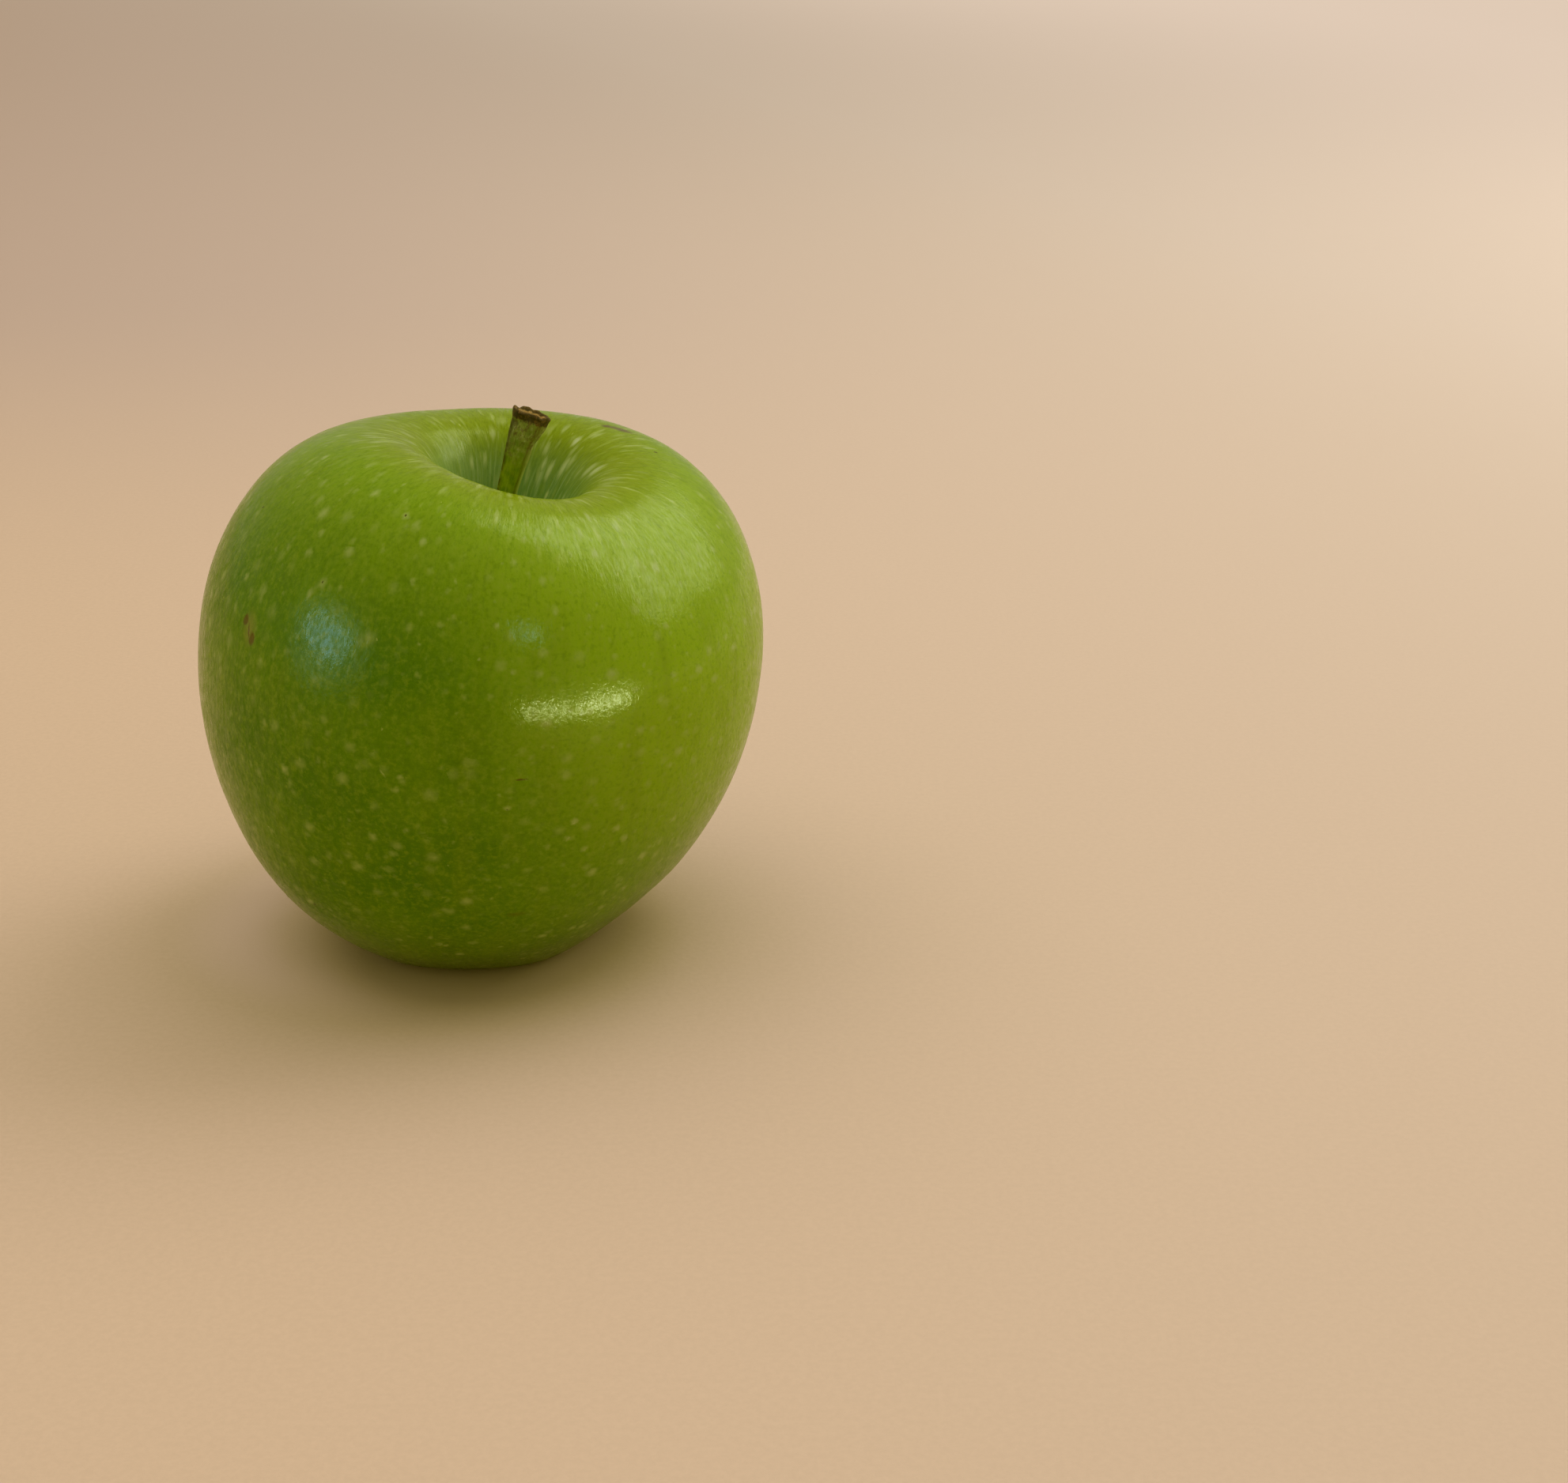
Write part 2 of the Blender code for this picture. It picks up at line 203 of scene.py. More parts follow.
# The studio's even light, then the soft light from above and the window's. Those two light colours
# only: the gloss mirrors the panels below instead of them.
STUDIO_COLOUR = (1.0, 0.93, 0.80)
STUDIO_STRENGTH = 0.37
DAYLIGHT = (1.0, 0.96, 0.82)
OVERHEAD_STRENGTH = 1.36
OVERHEAD_ANGLE = math.radians(86.0)
OVERHEAD_HEADING = (0.08, -0.25, -1.0)
WINDOW_DIRECTION = (0.64, 0.40, 0.62)
WINDOW_DISTANCE = 0.95
WINDOW_SIZE = (0.90, 0.58)
WINDOW_STRENGTH = 2.0
WINDOW_TURN = 55.0

# What the skin's gloss mirrors: (name, direction, metres away, size, degrees turned, strength, colour).
WINDOW_COLOUR = (0.90, 1.0, 0.62)
STREAK_COLOUR = (0.90, 1.0, 0.50)
SHINES = [
    ("window_front", (0.662, 0.240, 0.665), 0.95, (1.04, 0.30), 62.0, 3.1, WINDOW_COLOUR),
    ("window_glint", (0.78, 0.10, 0.61), 0.95, (0.36, 0.22), 62.0, 1.5, WINDOW_COLOUR),
    ("window_back", (0.605, 0.521, 0.515), 0.95, (0.82, 0.36), 49.0, 2.3, WINDOW_COLOUR),
    ("streak_left", (0.54, -0.84, -0.075), 0.26, (0.085, 0.010), 0.0, 27.0, STREAK_COLOUR),
    ("streak_link", (0.71, -0.70, -0.080), 0.26, (0.060, 0.011), 0.0, 16.0, STREAK_COLOUR),
    ("streak_upper", (0.855, -0.515, -0.048), 0.26, (0.080, 0.008), -3.0, 33.0, STREAK_COLOUR),
    ("streak_lower", (0.835, -0.540, -0.112), 0.26, (0.085, 0.010), -3.0, 31.0, STREAK_COLOUR),
    ("streak_glow", (0.72, -0.66, -0.20), 0.27, (0.20, 0.13), 0.0, 1.3, STREAK_COLOUR),
]
# Cool glows in the gloss: (name, direction, size in metres, strength).
GLOW_COLOUR = (0.35, 0.75, 1.0)
GLOW_DISTANCE = 0.6
COOL_GLOWS = [
    ("cool_left", (-0.845, -0.490, 0.205), (0.22, 0.14), 3.7),
    ("cool_left_halo", (-0.845, -0.490, 0.200), (0.40, 0.28), 0.8),
    ("cool_right", (0.510, -0.704, 0.480), (0.11, 0.09), 3.4),
]

# The floor: half its side in metres, and the place beside the apple's left foot where painted light
# makes the paper lighter in its shadow.
FLOOR_HALF = 3.0
FOOT_PAINTED_LIGHT = (-0.012, 0.0, 0.0)
FOOT_PAINTED_LIGHT_RADIUS = (0.034, 0.020)

# The picture's blue: what a linear value of the light becomes.
BLUE_CURVE = [
    (0.008, 0.0008), (0.02, 0.006), (0.035, 0.014), (0.07, 0.038), (0.12, 0.085), (0.25, 0.243),
]


def smooth_curve(points, start, end, step):
    """A cubic curve through the points, with given directions at its ends, sampled about every step."""
    points = np.asarray(points, float)
    count = len(points)
    gaps = np.linalg.norm(np.diff(points, axis=0), axis=1)
    slopes = np.diff(points, axis=0) / gaps[:, None]
    system = np.zeros((count, count))
    right = np.zeros_like(points)
    system[0, :2] = 2 * gaps[0], gaps[0]
    system[-1, -2:] = gaps[-1], 2 * gaps[-1]
    right[0] = 6 * (slopes[0] - start)
    right[-1] = 6 * (end - slopes[-1])
    for i in range(1, count - 1):
        system[i, i - 1:i + 2] = gaps[i - 1], 2 * (gaps[i - 1] + gaps[i]), gaps[i]
        right[i] = 6 * (slopes[i] - slopes[i - 1])
    bend = np.linalg.solve(system, right)
    curve = []
    for i, gap in enumerate(gaps):
        for b in np.linspace(0.0, 1.0, max(1, round(gap / step)), endpoint=False):
            a = 1.0 - b
            bulge = (a**3 - a) * bend[i] + (b**3 - b) * bend[i + 1]
            curve.append(a * points[i] + b * points[i + 1] + bulge * gap**2 / 6)
    curve.append(points[-1])
    return np.array(curve)


def unit(vectors):
    """Vectors at length 1."""
    vectors = np.asarray(vectors, float)
    return vectors / np.linalg.norm(vectors, axis=-1, keepdims=True)


def fade(value, centre, width):
    """A smooth step from 0 below the centre to 1 above it."""
    return 1.0 / (1.0 + np.exp(-(value - centre) / width))


def grain(places, size, seed=0.0):
    """Smooth noise from -1 to 1 at millimetre places, for a grain size."""
    flat = np.asarray(places, float).reshape(-1, 3) / size + seed
    values = [noise.noise(Vector(place)) for place in flat]
    return np.array(values).reshape(np.shape(places)[:-1])


def lean_over(points):
    """Leans the upper part of points that grew upright, in millimetres."""
    x, y, z = points[..., 0], points[..., 1], points[..., 2] - LEAN_CENTRE
    weight = fade(points[..., 2], LEAN_HEIGHT, LEAN_FADE)
    lean = LEAN * weight
    nod = NOD * weight
    leaned_x = x * np.cos(lean) + z * np.sin(lean)
    leaned_z = z * np.cos(lean) - x * np.sin(lean)
    nodded_y = y * np.cos(nod) - leaned_z * np.sin(nod)
    nodded_z = y * np.sin(nod) + leaned_z * np.cos(nod) + LEAN_CENTRE
    return np.stack([leaned_x, nodded_y, nodded_z], axis=-1)


def stand(points):
    """Moves millimetre points from where the fruit grew to the floor, and into metres."""
    return (points - np.array([MIDDLE[0], MIDDLE[1], FLOOR])) * MM


def skin_points(rows, angles, raised):
    """The skin at the outline's (radius, height) rows and the angles round it, raised by a relief."""
    radius = rows[:, :1]
    height = rows[:, 1:]
    lobe = np.cos(LOBES * (angles - LOBE_TURN))
    base = 1.0 - fade(height, BASE_HEIGHT, BASE_FADE)
    plan = 1.0 + base * LOBE_SWELL * lobe
    for order, (whole, low) in enumerate(zip(WHOLE_WAVES, BASE_WAVES), start=1):
        plan = plan + (whole[0] + base * low[0]) * np.cos(order * angles)
        plan = plan + (whole[1] + base * low[1]) * np.sin(order * angles)
    rim = np.exp(-(((radius - BASIN_RIM_RADIUS) / BASIN_RIM_WIDTH) ** 2)) * (height < BASE_HEIGHT)
    wave = SHOULDER_WAVE[0] * np.cos(2 * angles) + SHOULDER_WAVE[1] * np.sin(2 * angles)
    shoulder = fade(height, SHOULDER_HEIGHT, SHOULDER_FADE) * radius / SHOULDER_RADIUS
    slope = unit(np.gradient(rows, axis=0))
    out, up = -slope[:, 1:], slope[:, :1]
    grown = np.stack([
        (radius * plan + out * raised) * np.cos(angles),
        (radius * plan + out * raised) * np.sin(angles),
        height - rim * LOBE_DROP * lobe + shoulder * wave + up * raised,
    ], axis=-1)
    leaned = lean_over(grown)
    leaned[..., 2] = np.maximum(leaned[..., 2], FLOOR)
    return stand(leaned)


def skin_rows():
    """The outline's finely spaced rows."""
    rows = smooth_curve(OUTLINE, (1.0, 0.0), (-1.0, 0.0), SKIN_STEP)
    return rows[rows[:, 0] > POLE_RADIUS]


def lengths_down(rows, stretch=1.0):
    """Distance down the skin at each row, with an optional stretch for each step."""
    steps = np.linalg.norm(np.diff(rows, axis=0), axis=1) * stretch
    return np.concatenate([[0.0], np.cumsum(steps)])


def growth_heights(rows):
    """Height on the growth map: dots come out long in the stalk's hollow, small and round below."""
    middle = (rows[1:] + rows[:-1]) / 2
    below = 1.0 - fade(middle[:, 1], NARROW_HEIGHT, NARROW_FADE)
    narrow = GROWTH_RADIUS / np.maximum(middle[:, 0], NARROWEST)
    top = middle[:, 1] > HOLLOW_HEIGHT
    hollow = top * (1.0 - fade(middle[:, 0], HOLLOW_END, HOLLOW_FADE))
    stretch = 1.0 + below * (NARROW_STRETCH * narrow - 1.0) + hollow * (HOLLOW_STRETCH - 1.0)
    return lengths_down(rows, stretch)


def grid_mesh(name, grids):
    """One mesh from grids of points, rows that each run round; each end is closed with a point."""
    vertices = []
    faces = []
    for points in grids:
        start = len(vertices)
        row_count, column_count = points.shape[:2]
        vertices += list(points.reshape(-1, 3))
        for row in range(row_count - 1):
            for column in range(column_count):
                after = (column + 1) % column_count
                upper = start + row * column_count
                lower = upper + column_count
                faces.append((upper + column, lower + column, lower + after, upper + after))
        first, last = len(vertices), len(vertices) + 1
        vertices += [points[0].mean(axis=0), points[-1].mean(axis=0)]
        end = start + (row_count - 1) * column_count
        for column in range(column_count):
            after = (column + 1) % column_count
            faces.append((first, start + column, start + after))
            faces.append((last, end + after, end + column))
    mesh = bpy.data.meshes.new(name)
    mesh.from_pydata([tuple(v) for v in vertices], [], faces)
    mesh.shade_smooth()
    mesh.update()
    return mesh


def with_ends(values):
    """Values for a grid's points, then for the two points that close it."""
    values = np.asarray(values, float)
    flat = values.reshape(-1, *values.shape[2:])
    return np.concatenate([flat, values[[0, -1]].mean(axis=1)])


def add_piece(name, mesh, surface, node):
    """Adds a piece that stands for a solid: it rides on the one body, takes the given material and hides
    the solid.
    """
    piece = bpy.data.objects.new(name, mesh)
    bpy.context.scene.collection.objects.link(piece)
    mesh.materials.append(surface)
    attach(piece, "root")
    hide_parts(node)
    return piece


def store(mesh, name, values):
    """Keeps a number or a vector for each vertex, for the materials to read."""
    values = np.asarray(values, np.float32)
    if values.ndim == 1:
        layer = mesh.attributes.new(name, "FLOAT", "POINT")
        layer.data.foreach_set("value", values)
    else:
        layer = mesh.attributes.new(name, "FLOAT_VECTOR", "POINT")
        layer.data.foreach_set("vector", values.ravel())


class Graph:
    """Adds shader nodes to a new material and links them."""

    def __init__(self, name):
        self.material = bpy.data.materials.new(name)
        self.material.use_nodes = True
        self.tree = self.material.node_tree
        self.shader = self.tree.nodes["Principled BSDF"]

    def put(self, socket, value):
        """Links a socket to another, or sets its value."""
        if isinstance(value, bpy.types.NodeSocket):
            self.tree.links.new(value, socket)
        elif isinstance(value, tuple) and len(value) == 3 and socket.type == "RGBA":
            socket.default_value = (*value, 1.0)
        else:
            socket.default_value = value

    def finish(self, **inputs):
        """Sets or links the shader's own sockets by name."""
        for key, value in inputs.items():
            self.put(self.shader.inputs[key.replace("_", " ")], value)
        return self.material

    def add(self, kind, settings=None, **inputs):
        """A new node, with its settings and its inputs by name; an underscore stands for a space."""
        made = self.tree.nodes.new(kind)
        for key, value in (settings or {}).items():
            setattr(made, key, value)
        for key, value in inputs.items():
            self.put(made.inputs[key.replace("_", " ")], value)
        return made

    def maths(self, operation, first, second=0.0):
        """One arithmetic step between numbers."""
        made = self.add("ShaderNodeMath", {"operation": operation})
        self.put(made.inputs[0], first)
        self.put(made.inputs[1], second)
        return made.outputs[0]

    def times(self, *values):
        """The product of some numbers."""
        product = values[0]
        for value in values[1:]:
            product = self.maths("MULTIPLY", product, value)
        return product

    def vector(self, operation, first, second):
        """One step between vectors."""
        made = self.add("ShaderNodeVectorMath", {"operation": operation})
        self.put(made.inputs[0], first)
        self.put(made.inputs[1], second)
        return made.outputs["Value" if operation in ("DOT_PRODUCT", "DISTANCE") else "Vector"]

    def blend(self, share, first, second):
        """A mix of two colours."""
        made = self.add("ShaderNodeMix", {"data_type": "RGBA"})
        self.put(made.inputs["Factor"], share)
        self.put(made.inputs[6], first)
        self.put(made.inputs[7], second)
        return made.outputs[2]

    def ramp(self, value, low, high, to_low=0.0, to_high=1.0, kind="SMOOTHSTEP"):
        """Maps a number from one range to another."""
        made = self.add("ShaderNodeMapRange", {"interpolation_type": kind})
        for key, number in (("Value", value), ("From Min", low), ("From Max", high),
                            ("To Min", to_low), ("To Max", to_high)):
            self.put(made.inputs[key], number)
        return made.outputs["Result"]

    def attribute(self, name, output="Vector"):
        """A value stored on the mesh."""
        return self.add("ShaderNodeAttribute", {"attribute_name": name}).outputs[output]

    def noise(self, place, size, detail=2.0, roughness=0.5):
        """Soft noise of a given grain size, about 0.5 on average."""
        made = self.add("ShaderNodeTexNoise", Vector=place, Scale=1.0 / size, Detail=detail,
                        Roughness=roughness)
        return made.outputs["Fac"]

    def streaks(self, place, size, length, detail=3.0, roughness=0.6):
        """Noise drawn out along the map's height."""
        drawn_out = self.vector("MULTIPLY", place, (1.0, 1.0, size / length))
        return self.noise(drawn_out, size, detail, roughness)

    def bump(self, height, distance, strength=1.0):
        """A normal from a height that is 0 to 1 over a distance in metres."""
        made = self.add("ShaderNodeBump", Strength=strength, Distance=distance, Height=height)
        return made.outputs["Normal"]


def scattered_dots(graph, place, spacing, share, small, large, core, offset):
    """Soft round dots on the growth map: how far each place is inside one, and the dot's own number."""
    moved = graph.vector("ADD", place, offset)
    cells = graph.add("ShaderNodeTexVoronoi", {"feature": "F1"}, Vector=moved, Scale=1.0 / spacing)
    chance = graph.add("ShaderNodeSeparateColor", Color=cells.outputs["Color"])
    size = graph.ramp(chance.outputs[1], 0.0, 1.0, small / spacing, large / spacing, "LINEAR")
    inside = graph.ramp(cells.outputs["Distance"], size, graph.times(size, core))
    kept = graph.maths("LESS_THAN", chance.outputs[0], share)
    return graph.times(inside, kept), chance.outputs[2]


def mark_share(graph, place, mark, soft=0.45):
    """How far each place on the flat chart of the skin is inside an oval mark."""
    turn, down, width, length, tilt = mark
    rows = skin_rows()
    height = float(np.interp(down, lengths_down(rows), growth_heights(rows)))
    angle, lean = math.radians(turn), math.radians(tilt)
    sideways = Vector((1.0, 0.0, 0.0))
    downwards = Vector((0.0, 1.0, 0.0))
    across = (sideways * math.cos(lean) + downwards * math.sin(lean)) / width
    along = (downwards * math.cos(lean) - sideways * math.sin(lean)) / length
    offset = graph.vector("SUBTRACT", place, (GROWTH_RADIUS * angle, height, 0.0))
    first = graph.vector("DOT_PRODUCT", offset, tuple(across))
    second = graph.vector("DOT_PRODUCT", offset, tuple(along))
    squares = graph.maths("ADD", graph.times(first, first), graph.times(second, second))
    return graph.ramp(graph.maths("SQRT", squares), 1.0, soft)


def marks_share(graph, place, marks, soft=0.45):
    """How far each place is inside the nearest of some marks."""
    share = mark_share(graph, place, marks[0], soft)
    for mark in marks[1:]:
        share = graph.maths("MAXIMUM", share, mark_share(graph, place, mark, soft))
    return share


def ground_green(graph, growth, down, ripe_and_lit, mottle):
    """The skin's green without its dots: yellower where it is riper and low, bluish in the hollow.
    Painted light makes the sunny side and the shoulder lighter and lightens the hollow and its left
    wall; painted shade darkens the hollow's bottom.

    The share down the skin is 0 in the middle of the hollow and 1 in the middle of the basin.
    """
    cloudy = graph.ramp(graph.noise(growth, 13.0, 3.0), 0.34, 0.66)
    green = graph.blend(cloudy, (0.070, 0.190, 0.0010), (0.108, 0.238, 0.0012))
    # Painted light: the sunny side is lighter and yellower where the window's light falls, on top of its
    # own riper tone.
    green = graph.blend(ripe_and_lit, green, (0.265, 0.430, 0.003))
    low = graph.times(graph.ramp(down, 0.66, 0.96), 0.7)
    green = graph.blend(low, green, (0.150, 0.188, 0.002))
    # Painted light and sheen: a lighter yellow-green band over the shoulder, where the top catches the
    # light.
    shoulder = graph.times(graph.ramp(down, 0.44, 0.28), 0.62)
    green = graph.blend(shoulder, green, (0.245, 0.375, 0.020))
    crest = graph.times(graph.ramp(down, 0.26, 0.18), 0.72)
    green = graph.blend(crest, green, (0.205, 0.255, 0.004))
    # The hollow's own bluish green, made lighter with painted light against the shade in the hollow.
    hollow = graph.ramp(down, 0.165, 0.090)
    green = graph.blend(graph.times(hollow, 0.90), green, (0.185, 0.340, 0.150))
    # Painted light on the hollow's left wall, which faces the window, and painted shade at the hollow's
    # bottom, darker towards its right.
    sideways = graph.add("ShaderNodeSeparateXYZ", Vector=growth).outputs[0]
    painted_light_left_wall = graph.times(graph.ramp(down, 0.150, 0.110), graph.ramp(sideways, 0.0, -30.0), 0.35)
    green = graph.blend(painted_light_left_wall, green, (0.400, 0.560, 0.260))
    painted_shade_bottom = graph.times(graph.ramp(down, 0.100, 0.055), graph.ramp(sideways, -30.0, 10.0, 0.10, 0.55))
    green = graph.blend(painted_shade_bottom, green, (0.090, 0.190, 0.070))

    stripes = graph.ramp(graph.streaks(growth, 0.9, 9.0), 0.50, 0.85, 0.0, 0.22)
    green = graph.blend(stripes, green, (0.055, 0.130, 0.001))
    bands = graph.ramp(graph.streaks(growth, 3.2, 16.0, 2.0), 0.45, 0.75, 0.0, 0.35)
    green = graph.blend(bands, green, (0.165, 0.262, 0.004))
    green = graph.blend(graph.ramp(mottle, 0.46, 0.68, 0.0, 0.55), green, (0.225, 0.330, 0.030))
    green = graph.blend(graph.ramp(mottle, 0.52, 0.34, 0.0, 0.30), green, (0.060, 0.140, 0.001))
    streaks = graph.ramp(graph.streaks(growth, 1.4, 5.0), 0.48, 0.70)
    return graph.blend(graph.times(streaks, hollow, 0.55), green, (0.430, 0.560, 0.300))


def dotted_green(graph, growth, place, down, green):
    """The green with its pale dots, how far each place is inside a large dot, and how far that shows."""
    large, large_number = scattered_dots(graph, place, *LARGE_DOTS)
    small, small_number = scattered_dots(graph, place, *SMALL_DOTS)
    bright, _ = scattered_dots(graph, place, *BRIGHT_DOTS)
    drawn_out = graph.vector("MULTIPLY", place, (1.0, 1.0, 0.5))
    dashes, dash_number = scattered_dots(graph, drawn_out, *RIM_DASHES)
    rim = graph.times(graph.ramp(down, 0.33, 0.22), graph.ramp(down, 0.12, 0.16))
    dashes = graph.times(dashes, rim, graph.ramp(dash_number, 0.0, 1.0, 0.15, 0.60))
    green = graph.blend(dashes, green, (0.430, 0.530, 0.170))
    shortened = graph.vector("MULTIPLY", place, (1.0, 1.0, 1.7))
    grown, grown_number = scattered_dots(graph, shortened, *HOLLOW_DOTS)
    inner = graph.times(graph.ramp(down, 0.20, 0.15), graph.ramp(down, 0.03, 0.06))
    grown = graph.times(grown, inner, graph.ramp(grown_number, 0.0, 1.0, 0.35, 0.85))
    green = graph.blend(grown, green, (0.560, 0.640, 0.330))

    patchy = graph.ramp(graph.noise(growth, 8.0, 1.0), 0.35, 0.60, 0.50, 1.0)
    strength = graph.times(graph.ramp(large_number, 0.0, 1.0, 0.35, 0.85), patchy)
    large_share = graph.times(large, strength)
    green = graph.blend(large_share, green, PALE_DOT)
    small = graph.times(small, graph.ramp(small_number, 0.0, 1.0, 0.12, 0.45))
    green = graph.blend(small, green, PALE_DOT)
    green = graph.blend(graph.times(bright, 0.60), green, (0.50, 0.58, 0.22))
    pinhole = graph.times(graph.ramp(large, 0.94, 1.0), graph.maths("GREATER_THAN", large_number, 0.95))
    green = graph.blend(graph.times(pinhole, 0.8), green, (0.050, 0.030, 0.010))
    return green, large, large_share


def skin_material():
    """Waxy green skin: mottled green, pale dots that stretch in the hollow, marks and a clear gloss."""
    graph = Graph("waxy green skin")
    growth = graph.attribute("growth")
    down = graph.attribute("down", "Fac")
    ripe_and_lit = graph.attribute("ripe_and_lit", "Fac")
    wobble = graph.add("ShaderNodeTexNoise", Vector=growth, Scale=1.3, Detail=3.0)
    shift = graph.vector("SUBTRACT", wobble.outputs["Color"], (0.5, 0.5, 0.5))
    place = graph.vector("ADD", growth, graph.vector("MULTIPLY", shift, (0.9, 0.9, 0.9)))
    chart = graph.attribute("chart")
    chart = graph.vector("ADD", chart, graph.vector("MULTIPLY", shift, (0.7, 0.7, 0.0)))
    mottle = graph.noise(growth, 0.75, 5.0, 0.70)

    green = ground_green(graph, growth, down, ripe_and_lit, mottle)
    green, large, large_share = dotted_green(graph, growth, place, down, green)
    scars = marks_share(graph, chart, SCAR_MARKS)
    brown = graph.maths("MAXIMUM", scars, mark_share(graph, chart, SCRATCH_MARK))
    specks = marks_share(graph, chart, SPECK_MARKS)
    marks = [
        (marks_share(graph, chart, PALE_MARKS, 0.1), 0.60, PALE_DOT),
        (mark_share(graph, chart, SCAR_HALO, 0.1), 0.75, (0.240, 0.260, 0.060)),
        (mark_share(graph, chart, BRUISE_MARK, 0.0), 0.45, (0.120, 0.085, 0.004)),
        (marks_share(graph, chart, RUSSET_MARKS, 0.2), 0.90, (0.110, 0.066, 0.038)),
        (brown, 0.75, (0.105, 0.042, 0.014)),
        (specks, 0.85, (0.045, 0.022, 0.008)),
    ]
    for share, strength, colour in marks:
        green = graph.blend(graph.times(share, strength), green, colour)
    russet = graph.times(graph.ramp(down, 0.030, 0.012), graph.ramp(mottle, 0.35, 0.60, 0.5, 0.95))
    green = graph.blend(russet, green, (0.210, 0.130, 0.050))

    rough = graph.ramp(graph.noise(growth, 3.0, 3.0), 0.3, 0.7, 0.40, 0.52)
    dimples = graph.streaks(growth, 0.8, 1.8, 4.0, 0.62)
    crinkles = graph.noise(growth, 0.55, 3.0, 0.55)
    relief = graph.maths("ADD", dimples, graph.times(large, 0.15))
    relief = graph.maths("ADD", relief, graph.times(crinkles, 0.8))
    relief = graph.maths("SUBTRACT", relief, graph.maths("ADD", specks, brown))
    graph.finish(Base_Color=green, Roughness=graph.maths("ADD", rough, graph.times(large_share, 0.12)))
    wax = graph.ramp(graph.streaks(growth, 0.6, 1.3, 4.0, 0.75), 0.36, 0.64, 0.28, 0.84)
    graph.finish(Specular_IOR_Level=0.10, Coat_Weight=wax, Coat_Roughness=0.12, Coat_IOR=1.40)
    graph.finish(Subsurface_Weight=0.10, Subsurface_Radius=(1.0, 0.9, 0.2), Subsurface_Scale=0.0012)
    graph.finish(Normal=graph.bump(relief, 0.00006, 0.5), Coat_Normal=graph.bump(relief, 0.00006, 0.5))
    return graph.material


def build_skin():
    """The fruit's skin, finely drawn, with the map of how it grew."""
    rows = skin_rows()
    angles = np.linspace(0.0, 2 * math.pi, SKIN_COLUMNS, endpoint=False)
    heights = growth_heights(rows)
    growth = np.stack([
        GROWTH_RADIUS * np.cos(angles) + 0 * heights[:, None],
        GROWTH_RADIUS * np.sin(angles) + 0 * heights[:, None],
        0 * angles + heights[:, None],
    ], axis=-1)
    raised = sum(depth * grain(growth, size) for size, depth in SKIN_RELIEF)
    raised = raised * np.minimum(1.0, np.maximum(0.0, rows[:, 1:] - RELIEF_HEIGHT) / RELIEF_HEIGHT)
    basin = (rows[:, 1:] < BASE_HEIGHT) * np.clip(1.0 - rows[:, :1] / PUCKER_RADIUS, 0.0, 1.0)
    for count, depth, turn in PUCKERS:
        raised = raised + basin * depth * np.cos(count * angles + turn)
    points = skin_points(rows, angles, raised)
    mesh = grid_mesh("skin", [points])
    store(mesh, "growth", with_ends(growth))
    around = GROWTH_RADIUS * angles + 0 * heights[:, None]
    store(mesh, "chart", with_ends(np.stack([around, growth[..., 2], 0 * around], axis=-1)))
    lengths = lengths_down(rows)
    store(mesh, "down", with_ends(lengths[:, None] / lengths[-1] + 0 * angles))
    facing = unit(points - np.array(APPLE_CENTRE))
    # The sunny side, which also carries painted light from the window.
    store(mesh, "ripe_and_lit", with_ends(fade(facing @ unit(SUNNY_SIDE), SUNNY_START, SUNNY_FADE)))
    return add_piece("skin", mesh, skin_material(), "fruit")


def broken_end(graph, place, scar, cloudy):
    """The scar's colour: a dark rim and groove, a lighter ring and a dark, crumbled middle."""
    crumbs = graph.noise(place, 0.55, 5.0, 0.7)
    end = graph.blend(graph.ramp(crumbs, 0.42, 0.66), (0.075, 0.036, 0.022), (0.230, 0.115, 0.050))
    wavy = graph.maths("ADD", scar, graph.times(graph.maths("SUBTRACT", cloudy, 0.5), 0.30))
    ring = graph.times(graph.ramp(wavy, 0.24, 0.34), graph.ramp(wavy, 0.56, 0.46))
    ring = graph.times(ring, graph.ramp(crumbs, 0.36, 0.58, 0.20, 0.95))
    end = graph.blend(ring, end, (0.400, 0.230, 0.085))
    groove = graph.times(graph.ramp(wavy, 0.14, 0.20), graph.ramp(wavy, 0.30, 0.24), 0.75)
    end = graph.blend(groove, end, (0.040, 0.020, 0.010))
    end = graph.blend(graph.ramp(scar, 0.58, 0.78, 0.0, 0.85), end, (0.050, 0.024, 0.010))
    end = graph.blend(graph.ramp(crumbs, 0.42, 0.30, 0.0, 0.85), end, (0.030, 0.015, 0.008))
    rim = graph.times(graph.ramp(scar, 0.13, 0.04), graph.ramp(crumbs, 0.62, 0.48, 0.30, 0.85))
    return graph.blend(rim, end, (0.042, 0.021, 0.012))


